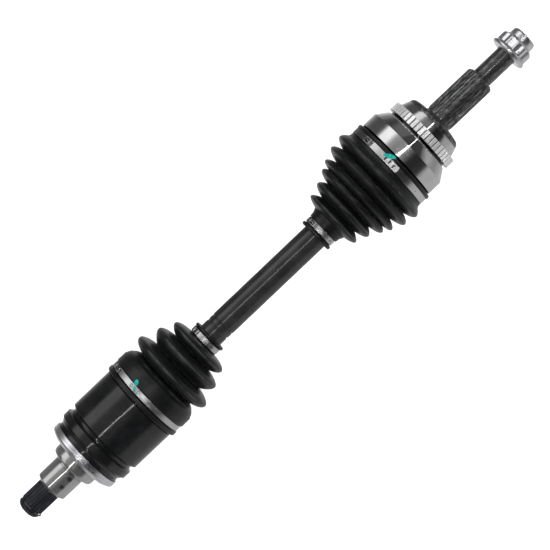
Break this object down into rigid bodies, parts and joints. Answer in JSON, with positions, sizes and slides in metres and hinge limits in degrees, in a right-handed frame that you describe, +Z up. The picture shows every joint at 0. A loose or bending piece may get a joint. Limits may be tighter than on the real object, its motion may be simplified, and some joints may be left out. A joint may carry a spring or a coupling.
{
  "type": "cv axle",
  "caption": "Front-wheel-drive shaft: a bar between a plunging tripod joint and a fixed ball joint, under pleated boots, with a splined stub, a tone ring and a hub nut.",
  "frame": {"origin": "on the axle's axis, at the shoulder of the inboard stub that meets the differential", "axes": "+X along the straight axle from the inboard stub to the wheel end, +Z up, the tripod's first trunnion and both joints' bend axes along Z"},
  "size_m": [0.6893, 0.1116, 0.1116],
  "materials": {
    "housing_paint": "gloss black paint over a machined housing",
    "bar_paint": "semi-gloss black paint",
    "zinc_plate": "bright zinc plate",
    "band_steel": "stainless strip",
    "race_steel": "polished dark steel, black-oxided at the splines and thread",
    "boot_rubber": "matte moulded thermoplastic rubber",
    "ground_steel": "ground bearing steel",
    "forged_steel": "hardened forging",
    "spring_steel": "spring steel wire and strip"
  },
  "bodies": {
    "inboard_housing": {"inboard_housing": "housing_paint", "dust_shield": "zinc_plate", "stub_circlip": "spring_steel", "inboard_boot": "boot_rubber", "inboard_big_clamp": "band_steel"},
    "tripod_slide": {"needle_set_1": "ground_steel"},
    "roller_1": {"roller_1": "ground_steel"},
    "shaft": {"shaft_bar": "bar_paint", "tripod_spider": "forged_steel", "spider_circlip": "spring_steel", "roller_retainer_1": "spring_steel", "roller_retainer_2": "spring_steel", "roller_retainer_3": "spring_steel", "needle_set_2": "ground_steel", "needle_set_3": "ground_steel", "inboard_small_clamp": "band_steel", "outboard_small_clamp": "band_steel", "inner_race": "ground_steel", "inner_race_circlip": "spring_steel"},
    "roller_2": {"roller_2": "ground_steel"},
    "roller_3": {"roller_3": "ground_steel"},
    "ball_cage": {"ball_cage": "forged_steel"},
    "ball_1": {"ball_1": "ground_steel"},
    "ball_2": {"ball_2": "ground_steel"},
    "ball_3": {"ball_3": "ground_steel"},
    "ball_4": {"ball_4": "ground_steel"},
    "ball_5": {"ball_5": "ground_steel"},
    "ball_6": {"ball_6": "ground_steel"},
    "wheel_end": {"outer_race": "race_steel", "tone_ring": "zinc_plate", "outboard_boot": "boot_rubber", "outboard_big_clamp": "band_steel"},
    "hub_nut": {"hub_nut": "zinc_plate"}
  },
  "joints": [
    {"name": "plunge", "type": "slide", "parent": "inboard_housing", "child": "tripod_slide", "axis": [1, 0, 0], "range_m": [-0.015, 0.015], "deforming": ["inboard_boot"]},
    {"name": "inboard_bend", "type": "hinge", "parent": "tripod_slide", "child": "shaft", "pos_m": [0.085, 0, 0], "axis": [0, 0, 1], "range_deg": [-18, 18], "deforming": ["inboard_boot"]},
    {"name": "roller_1_spin", "type": "hinge", "parent": "tripod_slide", "child": "roller_1", "pos_m": [0.085, 0, 0], "axis": [0, 0, 1], "range_deg": [-55.9, 55.9]},
    {"name": "roller_2_spin", "type": "hinge", "parent": "shaft", "child": "roller_2", "pos_m": [0.085, 0, 0], "axis": [0, 0.866, -0.5], "range_deg": [-55.9, 55.9]},
    {"name": "roller_3_spin", "type": "hinge", "parent": "shaft", "child": "roller_3", "pos_m": [0.085, 0, 0], "axis": [0, -0.866, -0.5], "range_deg": [-55.9, 55.9]},
    {"name": "outboard_bend", "type": "hinge", "parent": "shaft", "child": "wheel_end", "pos_m": [0.455, 0, 0], "axis": [0, 0, 1], "range_deg": [-45, 45], "deforming": ["outboard_boot"]},
    {"name": "cage_bend", "type": "hinge", "parent": "shaft", "child": "ball_cage", "pos_m": [0.455, 0, 0], "axis": [0, 0, 1], "range_deg": [-23, 23]},
    {"name": "ball_1_roll", "type": "hinge", "parent": "shaft", "child": "ball_1", "pos_m": [0.455, 0, 0], "axis": [0, 0, 1], "range_deg": [-23, 23]},
    {"name": "ball_2_roll", "type": "hinge", "parent": "shaft", "child": "ball_2", "pos_m": [0.455, 0, 0], "axis": [0, -0.866, 0.5], "range_deg": [-11.75, 11.75]},
    {"name": "ball_3_roll", "type": "hinge", "parent": "shaft", "child": "ball_3", "pos_m": [0.455, 0, 0], "axis": [0, -0.866, -0.5], "range_deg": [-11.75, 11.75]},
    {"name": "ball_4_roll", "type": "hinge", "parent": "shaft", "child": "ball_4", "pos_m": [0.455, 0, 0], "axis": [0, 0, -1], "range_deg": [-23, 23]},
    {"name": "ball_5_roll", "type": "hinge", "parent": "shaft", "child": "ball_5", "pos_m": [0.455, 0, 0], "axis": [0, 0.866, -0.5], "range_deg": [-11.75, 11.75]},
    {"name": "ball_6_roll", "type": "hinge", "parent": "shaft", "child": "ball_6", "pos_m": [0.455, 0, 0], "axis": [0, 0.866, 0.5], "range_deg": [-11.75, 11.75]},
    {"name": "hub_nut_turn", "type": "hinge", "parent": "wheel_end", "child": "hub_nut", "pos_m": [0.614, 0, 0], "axis": [1, 0, 0], "continuous": true}
  ],
  "couplings": [
    {"joint": "roller_1_spin", "follows": "plunge", "rad_per_m": 64.516},
    {"joint": "roller_2_spin", "follows": "plunge", "rad_per_m": 64.516},
    {"joint": "roller_3_spin", "follows": "plunge", "rad_per_m": 64.516},
    {"joint": "cage_bend", "follows": "outboard_bend", "ratio": 0.5},
    {"joint": "ball_1_roll", "follows": "outboard_bend", "ratio": 0.5},
    {"joint": "ball_2_roll", "follows": "outboard_bend", "ratio": 0.25},
    {"joint": "ball_3_roll", "follows": "outboard_bend", "ratio": -0.25},
    {"joint": "ball_4_roll", "follows": "outboard_bend", "ratio": -0.5},
    {"joint": "ball_5_roll", "follows": "outboard_bend", "ratio": -0.25},
    {"joint": "ball_6_roll", "follows": "outboard_bend", "ratio": 0.25}
  ]
}
